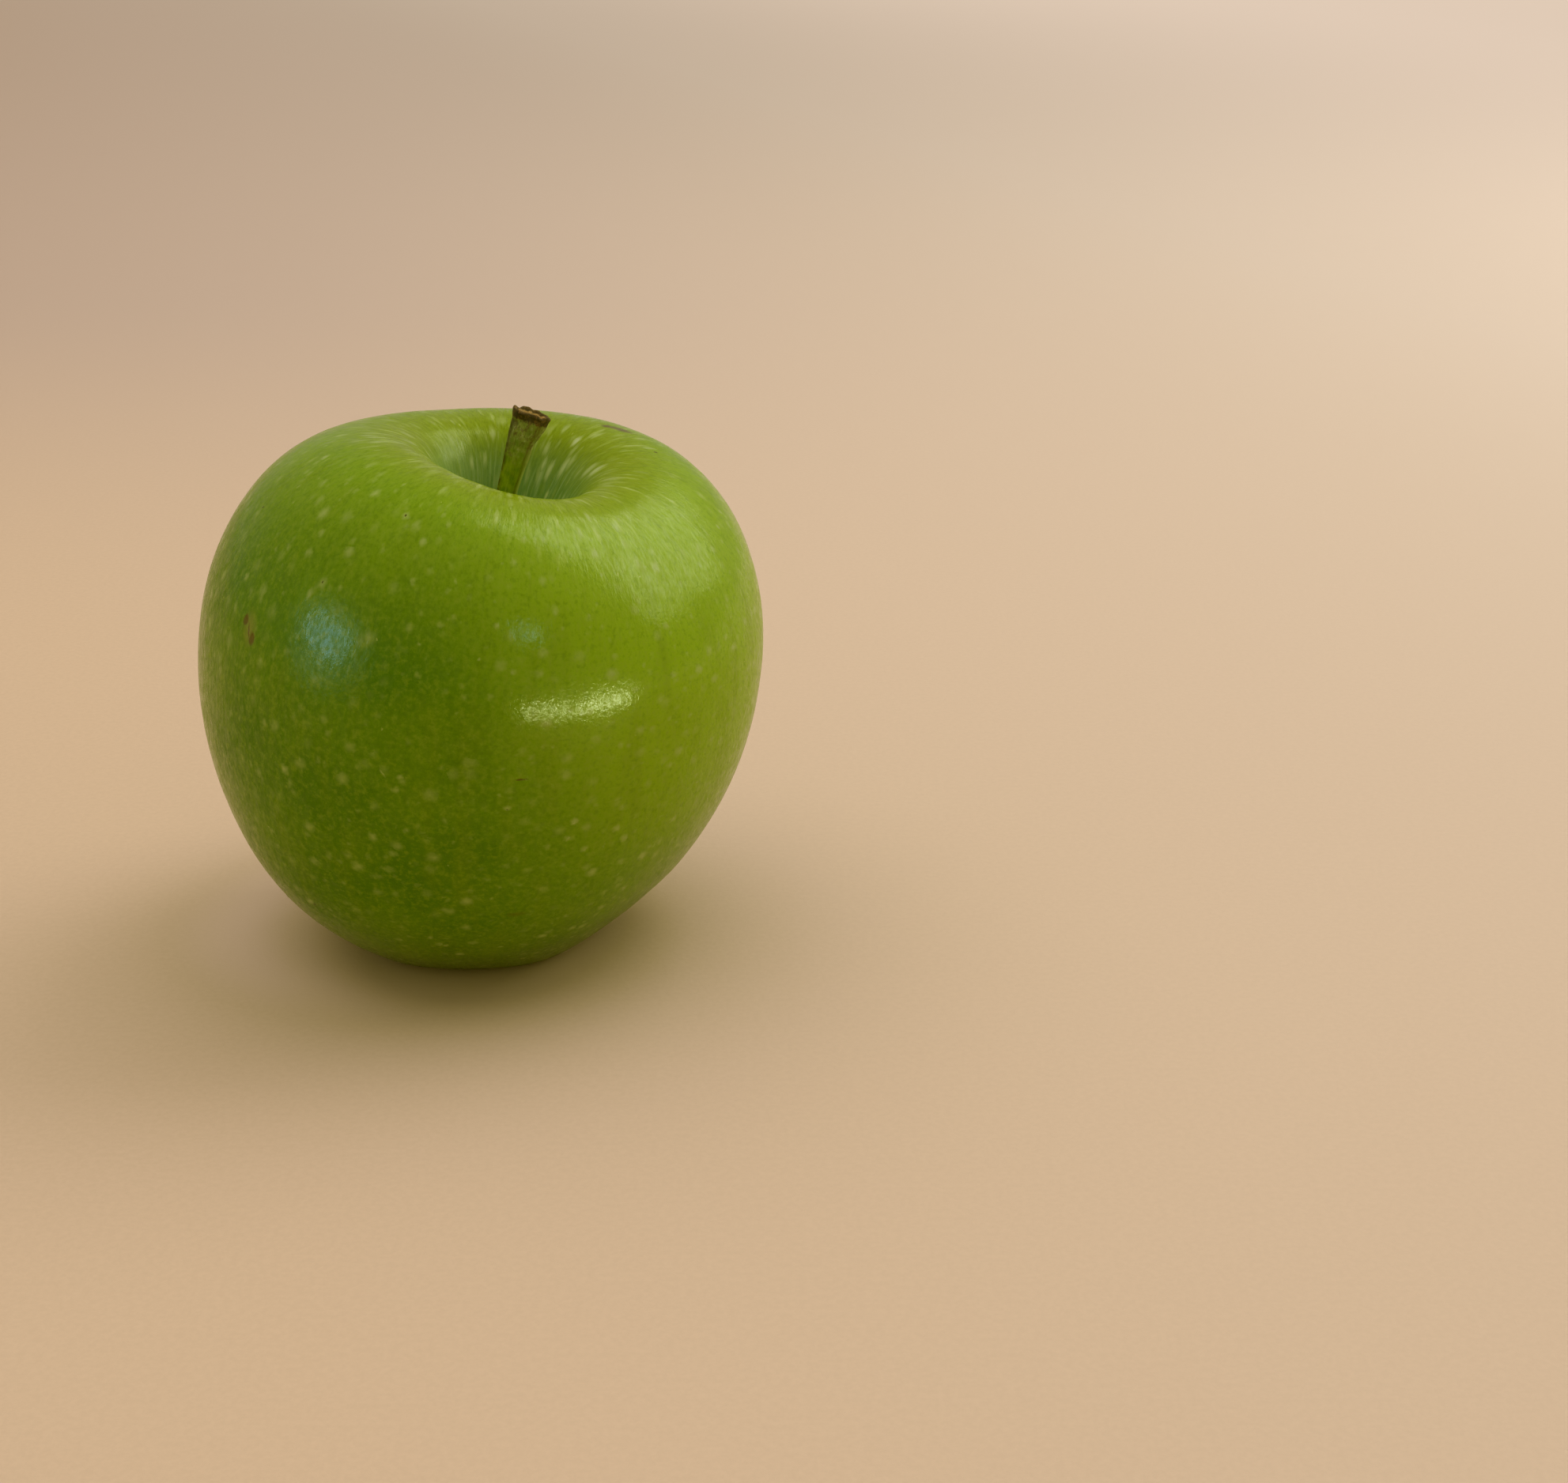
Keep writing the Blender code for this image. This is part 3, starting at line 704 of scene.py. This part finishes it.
def stalk_material():
    """Green stalk wood that turns brown and fibrous under the scar where it broke from the twig."""
    graph = Graph("green brown stalk wood")
    place = graph.attribute("stalk_map")
    along = graph.attribute("along", "Fac")
    scar = graph.attribute("scar", "Fac")
    left, right, crease = (graph.attribute(name, "Fac") for name, _, _ in STALK_LINES)

    fibres = graph.streaks(place, 0.28, 2.6, 4.0, 0.65)
    cloudy = graph.noise(place, 1.1, 3.0)
    wood = graph.blend(graph.ramp(cloudy, 0.35, 0.65), (0.175, 0.270, 0.009), (0.300, 0.390, 0.022))
    wood = graph.blend(graph.ramp(fibres, 0.50, 0.78, 0.0, 0.55), wood, (0.460, 0.500, 0.170))
    wood = graph.blend(graph.ramp(fibres, 0.50, 0.28, 0.0, 0.45), wood, (0.110, 0.130, 0.010))
    # Painted highlight: a pale line along the stalk's right edge.
    wood = graph.blend(graph.times(right, 0.65), wood, (0.560, 0.590, 0.260))
    upper = graph.maths("ADD", along, graph.times(graph.maths("SUBTRACT", cloudy, 0.5), 0.35))
    grey = graph.ramp(upper, 0.72, 0.92)
    wood = graph.blend(graph.times(grey, 0.65), wood, (0.235, 0.255, 0.090))
    crossed = graph.streaks(place, 0.32, 0.7, 5.0, 0.7)
    flakes = graph.times(grey, graph.ramp(crossed, 0.52, 0.66, 0.0, 0.6))
    wood = graph.blend(flakes, wood, (0.560, 0.550, 0.360))
    cracks = graph.times(grey, graph.ramp(crossed, 0.44, 0.36, 0.0, 0.7))
    wood = graph.blend(cracks, wood, (0.050, 0.030, 0.016))
    patches = graph.times(grey, graph.ramp(graph.noise(place, 0.75, 4.0, 0.65), 0.50, 0.60), 0.65)
    wood = graph.blend(patches, wood, (0.150, 0.092, 0.045))
    creased = graph.times(crease, graph.ramp(fibres, 0.40, 0.60, 0.25, 0.75))
    wood = graph.blend(creased, wood, (0.130, 0.085, 0.012))
    ridge = graph.times(left, graph.ramp(graph.noise(place, 0.8, 3.0), 0.30, 0.55, 0.35, 1.0), 0.90)
    wood = graph.blend(ridge, wood, (0.070, 0.042, 0.014))
    root = graph.times(graph.ramp(along, 0.24, 0.12), 0.6)
    wood = graph.blend(root, wood, (0.160, 0.100, 0.035))

    scarred = graph.maths("ADD", graph.ramp(along, 0.945, 0.995), graph.ramp(scar, 0.0, 0.04))
    ragged = graph.maths("ADD", scarred, graph.times(graph.maths("SUBTRACT", crossed, 0.5), 1.7))
    wood = graph.blend(graph.ramp(ragged, 0.35, 0.65), wood, broken_end(graph, place, scar, cloudy))
    relief = graph.maths("ADD", fibres, graph.times(graph.maths("ADD", grey, scarred), crossed))
    graph.finish(Base_Color=wood, Roughness=graph.ramp(fibres, 0.3, 0.7, 0.50, 0.68))
    graph.finish(Specular_IOR_Level=0.35, Normal=graph.bump(relief, 0.00012, 0.7))
    return graph.material


def stalk_line():
    """The stalk's middle line and radius from the end of its root to the scar."""
    hollow_floor = OUTLINE[0][1]
    upright = np.array([(0.0, 0.0, hollow_floor - STALK_ROOT_DEPTH), (0.0, 0.0, hollow_floor)])
    root = [(*point, STALK_ROOT_RADIUS) for point in lean_over(upright)]
    points = np.array(root + STALK)
    return smooth_curve(points, unit(points[1] - points[0]), unit(points[-1] - points[-2]), STALK_STEP)


def build_stalk():
    """The stalk: ridged and fibrous, flared to the ragged scar where it broke from the twig."""
    line = stalk_line()
    headings = unit(np.gradient(line[:, :3], axis=0))
    stations = [(centre, heading, 1.0, 0.0) for centre, heading in zip(line, headings)]
    stations += [(line[-1], headings[-1], share, beyond) for share, beyond in STALK_SCAR]
    angles = np.linspace(0.0, 2 * math.pi, STALK_COLUMNS, endpoint=False)
    lengths = lengths_down(line[:, :3])
    ridged = 1.0 + sum(depth * np.cos(order * angles + turn) for order, depth, turn in STALK_RIDGES)
    rings, maps, along, scar = [], [], [], []
    for index, (centre, heading, share, beyond) in enumerate(stations):
        across = unit(np.cross((0.0, 1.0, 0.0), heading))
        back = np.cross(heading, across)
        length = lengths[min(index, len(line) - 1)]
        flat = share * centre[3] * ridged
        height = length + beyond + 0 * angles
        spot = np.stack([flat * np.cos(angles), flat * np.sin(angles), height], axis=-1)
        flare = float(fade(length / lengths[-1], FLARE_START, FLARE_FADE))
        drawn_out = spot * np.array([1.0, 1.0, GRAIN_STRETCH])
        bumps = STALK_GRAIN[0] * grain(drawn_out, STALK_GRAIN[1]) * min(share, 1.0)
        bumps = bumps + flare * share * STALK_KNOBS[0] * grain(spot, STALK_KNOBS[1], 7.0)
        rough = SCAR_ROUGHNESS[0] * grain(spot, SCAR_ROUGHNESS[1], 3.0) if beyond else 0.0 * angles
        radius = flat + bumps
        sideways = np.outer(radius * np.cos(angles), across)
        backwards = np.outer(radius * np.sin(angles), back)
        rings.append(stand(centre[:3] + sideways + backwards + np.outer(beyond + rough, heading)))
        maps.append(spot)
        along.append(length / lengths[-1] + 0 * angles)
        scar.append((1.0 - min(share, 1.0)) + 0 * angles)
    mesh = grid_mesh("stalk", [np.array(rings)[:, ::-1]])
    store(mesh, "stalk_map", with_ends(np.array(maps)[:, ::-1]))
    store(mesh, "along", with_ends(np.array(along)))
    store(mesh, "scar", with_ends(np.array(scar)))
    turned = angles[::-1] + 0 * np.array(along)
    for name, degrees, width in STALK_LINES:
        store(mesh, name, with_ends(np.exp(-(((turned - math.radians(degrees)) / width) ** 2))))
    return add_piece("stalk_wood", mesh, stalk_material(), "stalk")


def sepal_material():
    """Dry brown sepals: greenish at the root, darker at the tip and streaked with pale fibres."""
    graph = Graph("dried sepal")
    place = graph.attribute("sepal_map")
    along = graph.attribute("along", "Fac")
    fibres = graph.streaks(place, 0.30, 3.0, 4.0, 0.65)
    patches = graph.noise(place, 0.9, 4.0, 0.6)
    colour = graph.blend(graph.ramp(patches, 0.35, 0.65), (0.070, 0.042, 0.020), (0.190, 0.130, 0.075))
    colour = graph.blend(graph.ramp(fibres, 0.50, 0.75, 0.0, 0.6), colour, (0.330, 0.270, 0.180))
    colour = graph.blend(graph.ramp(fibres, 0.45, 0.28, 0.0, 0.7), colour, (0.030, 0.018, 0.010))
    colour = graph.blend(graph.ramp(along, 0.30, 0.0, 0.0, 0.6), colour, (0.120, 0.120, 0.035))
    colour = graph.blend(graph.ramp(along, 0.70, 1.0, 0.0, 0.6), colour, (0.050, 0.028, 0.015))
    graph.finish(Base_Color=colour, Roughness=graph.ramp(patches, 0.3, 0.7, 0.72, 0.92))
    graph.finish(Specular_IOR_Level=0.25, Sheen_Weight=0.25, Sheen_Roughness=0.6)
    graph.finish(Normal=graph.bump(graph.maths("ADD", fibres, patches), 0.00015, 0.7))
    return graph.material


def sepal_grid(index):
    """One sepal as rings round its blade, with its map and its share along."""
    reach = SEPAL_REACH[index]
    stations = [(r * reach, height, width) for (r, height), width in zip(SEPAL_LINE, SEPAL_WIDTHS)]
    start = np.array((stations[1][0] - stations[0][0], stations[1][1] - stations[0][1], 0.0))
    curve = smooth_curve(stations, unit(start), (1.0, 0.0, -1.0), SEPAL_STEP)
    headings = unit(np.gradient(curve[:, :2], axis=0))
    angle = LOBE_TURN + 2 * math.pi * index / LOBES
    outward = np.array([math.cos(angle), math.sin(angle), 0.0])
    sideways = np.array([-math.sin(angle), math.cos(angle), 0.0])
    across = np.linspace(-1.0, 1.0, SEPAL_COLUMNS)
    lengths = lengths_down(curve[:, :2])
    rings, maps, along = [], [], []
    for (radius, height, width), heading, length in zip(curve, headings, lengths):
        share = length / lengths[-1]
        upward = outward * heading[1] + np.array([0.0, 0.0, -heading[0]])
        middle = outward * radius + np.array([0.0, 0.0, height])
        half = (sideways + upward * SEPAL_TWIST[index] * share) * width / 2
        spots = np.stack([across * width / 2, 0 * across + 9.0 * index, length + 0 * across], axis=-1)
        bend = -SEPAL_CURL * width / SEPAL_WIDTHS[1] * across**2
        ripple = SEPAL_RIPPLE[0] * share * grain(spots, SEPAL_RIPPLE[1], 5.0) * np.abs(across)
        rib = SEPAL_RIB[0] * np.exp(-((across / SEPAL_RIB[1]) ** 2)) * (1.0 - share)
        thinner = (1.0 - SEPAL_THINNER[0] * np.abs(across) ** 3) * (1.0 - SEPAL_THINNER[1] * share)
        thick = SEPAL_THICKNESS / 2 * thinner
        centre = middle + np.outer(across, half) + np.outer(bend + ripple, upward)
        front = centre + np.outer(thick + rib, upward)
        behind = centre - np.outer(thick, upward)
        rings.append(np.concatenate([front, behind[::-1]]))
        maps.append(np.concatenate([spots, spots[::-1] + np.array([0.0, 0.5, 0.0])]))
        along.append(share + 0 * np.concatenate([across, across]))
    return np.array(rings), np.array(maps), np.array(along)


def tube_grid(path, radii, sides, seed):
    """A slim round tube along a path, with its map and its share along."""
    headings = unit(np.gradient(path, axis=0))
    angles = np.linspace(0.0, 2 * math.pi, sides, endpoint=False)
    rings, maps = [], []
    for point, heading, radius in zip(path, headings, radii):
        first = unit(np.cross(heading, (0.3, 0.9, 0.2)))
        second = np.cross(heading, first)
        circle = np.outer(np.cos(angles), first) + np.outer(np.sin(angles), second)
        rings.append(point + radius * circle)
        still = 0 * angles
        maps.append(np.stack([radius * np.cos(angles), seed + still, point[2] + still], axis=-1))
    share = np.linspace(0.0, 0.8, len(path))[:, None] + 0 * angles
    return np.array(rings), np.array(maps), share


def thread_grid(index, rng):
    """One withered stamen or style: a thread that hangs from the flower's middle, with a thicker tip."""
    kind = STAMENS if index < STAMENS["count"] else STYLES
    turn = 2 * math.pi * index / kind["count"] + rng.uniform(-0.2, 0.2)
    length = rng.uniform(*kind["length"])
    spread = rng.uniform(*kind["spread"])
    sway = rng.uniform(-0.5, 0.5)
    steps = np.linspace(0.0, 1.0, THREAD_STEPS)
    radius = kind["start"] + spread * steps**2
    around = turn + sway * steps**2 / max(kind["start"], 1.0)
    height = THREAD_HEIGHT - length * steps
    path = np.stack([radius * np.cos(around), radius * np.sin(around), height], axis=-1)
    thick = np.full(THREAD_STEPS, THREAD_RADIUS * kind["thick"])
    thick[-len(TIP_SHAPE):] = np.array(TIP_SHAPE) * TIP_RADIUS * kind["tip"]
    return tube_grid(path, thick, THREAD_SIDES, 60.0 + 3.0 * index)


def build_calyx():
    """The dried calyx: five curled sepals round withered stamens and styles, on a round root."""
    rng = np.random.default_rng(5)
    root = np.array(CALYX_ROOT)
    angles = np.linspace(0.0, 2 * math.pi, ROOT_COLUMNS, endpoint=False)
    disc = np.stack([
        root[:, :1] * np.cos(angles), root[:, :1] * np.sin(angles), root[:, 1:] + 0 * angles,
    ], axis=-1)
    parts = [(disc, disc, 0.25 + 0 * disc[..., 0])]
    parts += [sepal_grid(index) for index in range(LOBES)]
    parts += [thread_grid(index, rng) for index in range(STAMENS["count"] + STYLES["count"])]
    mesh = grid_mesh("calyx", [stand(lean_over(points)) for points, _, _ in parts])
    store(mesh, "sepal_map", np.concatenate([with_ends(spots) for _, spots, _ in parts]))
    store(mesh, "along", np.concatenate([with_ends(share) for _, _, share in parts]))
    return add_piece("dried_sepals", mesh, sepal_material(), "calyx")


def make_camera():
    """The photograph's camera: a little above the apple, looking along +Y."""
    data = bpy.data.cameras.new("camera")
    data.lens = CAMERA_LENS
    data.sensor_width = CAMERA_SENSOR
    camera = bpy.data.objects.new("camera", data)
    camera.location = Vector(CAMERA_PLACE) * MM
    camera.rotation_euler = (math.pi / 2 - CAMERA_PITCH, 0.0, 0.0)
    bpy.context.scene.collection.objects.link(camera)
    bpy.context.scene.camera = camera


def area_light(name, direction, distance, size, radiance, colour, turn=0.0, shape="RECTANGLE"):
    """A soft light panel that faces the apple from a direction, with a given brightness."""
    data = bpy.data.lights.new(name, "AREA")
    data.shape = shape
    data.size, data.size_y = size
    data.energy = radiance * math.pi * size[0] * size[1]
    data.color = colour
    light = bpy.data.objects.new(name, data)
    towards = Vector(direction).normalized()
    light.location = Vector(APPLE_CENTRE) + towards * distance
    facing = (-towards).to_track_quat("-Z", "Y") @ Quaternion((0.0, 0.0, 1.0), math.radians(turn))
    light.rotation_euler = facing.to_euler()
    bpy.context.scene.collection.objects.link(light)
    return light


def paper_material():
    """Pale warm paper, with painted shade that greys it at the far left and painted light that makes it
    paler towards the window and at the apple's left foot.
    """
    graph = Graph("warm pale paper")
    place = graph.add("ShaderNodeTexCoord").outputs["Object"]
    fibre = graph.noise(place, 0.0009, 4.0, 0.7)
    paper = graph.blend(graph.ramp(fibre, 0.3, 0.7), (0.655, 0.478, 0.348), (0.685, 0.503, 0.368))
    apart = graph.add("ShaderNodeSeparateXYZ", Vector=place)
    sideways, away = apart.outputs[0], apart.outputs[1]
    # Painted shade: the paper greys towards the far left.
    shaded = graph.times(graph.ramp(away, 0.10, 0.50), graph.ramp(sideways, 0.25, -0.15), 0.80)
    paper = graph.blend(shaded, paper, (0.515, 0.388, 0.335))
    # Painted light: the paper grows paler towards the window, with a paler pool furthest towards it.
    lit = graph.maths("ADD", sideways, graph.times(away, 0.35))
    pale = graph.ramp(lit, -0.05, 0.40, 0.0, 0.85, "LINEAR")
    paper = graph.blend(pale, paper, (0.655, 0.550, 0.485))
    paper = graph.blend(graph.ramp(lit, 0.25, 1.05), paper, (0.950, 0.800, 0.740))
    # Painted light: the paper is lighter beside the apple's left foot, which softens its contact shadow.
    foot = graph.ramp(graph.vector("DISTANCE", place, FOOT_PAINTED_LIGHT), *FOOT_PAINTED_LIGHT_RADIUS)
    paper = graph.blend(foot, paper, (0.830, 0.600, 0.490))
    return graph.finish(Base_Color=paper, Specular_IOR_Level=0.0, Normal=graph.bump(fibre, 0.0001, 0.35))


def make_floor():
    """A wide sheet of paper under the apple."""
    mesh = bpy.data.meshes.new("floor")
    half = FLOOR_HALF
    corners = [(-half, -half, 0.0), (half, -half, 0.0), (half, half, 0.0), (-half, half, 0.0)]
    mesh.from_pydata(corners, [], [(0, 1, 2, 3)])
    mesh.materials.append(paper_material())
    floor = bpy.data.objects.new("floor", mesh)
    bpy.context.scene.collection.objects.link(floor)


def light_studio():
    """Soft light that colours the apple, and panels that only its gloss mirrors."""
    world = bpy.data.worlds.new("studio")
    bpy.context.scene.world = world
    world.use_nodes = True
    background = world.node_tree.nodes["Background"]
    background.inputs["Color"].default_value = (*STUDIO_COLOUR, 1.0)
    background.inputs["Strength"].default_value = STUDIO_STRENGTH
    overhead = bpy.data.lights.new("overhead", "SUN")
    overhead.energy = OVERHEAD_STRENGTH
    overhead.angle = OVERHEAD_ANGLE
    overhead.color = DAYLIGHT
    light = bpy.data.objects.new("overhead", overhead)
    light.rotation_euler = Vector(OVERHEAD_HEADING).to_track_quat("-Z", "Y").to_euler()
    light.visible_glossy = False
    bpy.context.scene.collection.objects.link(light)
    window = area_light("window", WINDOW_DIRECTION, WINDOW_DISTANCE, WINDOW_SIZE, WINDOW_STRENGTH,
                        DAYLIGHT, WINDOW_TURN)
    window.visible_glossy = False
    for name, direction, distance, size, turn, radiance, colour in SHINES:
        shine = area_light(name, direction, distance, size, radiance, colour, turn)
        shine.visible_diffuse = False
    for name, direction, size, radiance in COOL_GLOWS:
        glow = area_light(name, direction, GLOW_DISTANCE, size, radiance, GLOW_COLOUR, shape="ELLIPSE")
        glow.visible_diffuse = False


def grade_picture():
    """The photograph's look, in which blue falls away in the darker tones."""
    view = bpy.context.scene.view_settings
    view.view_transform = "Standard"
    view.use_curve_mapping = True
    blue = view.curve_mapping.curves[2]
    for shade, value in BLUE_CURVE:
        blue.points.new(shade, value)
    for point in blue.points:
        point.handle_type = "VECTOR"
    view.curve_mapping.update()


make_camera()
make_floor()
light_studio()
grade_picture()
build_skin()
build_stalk()
build_calyx()
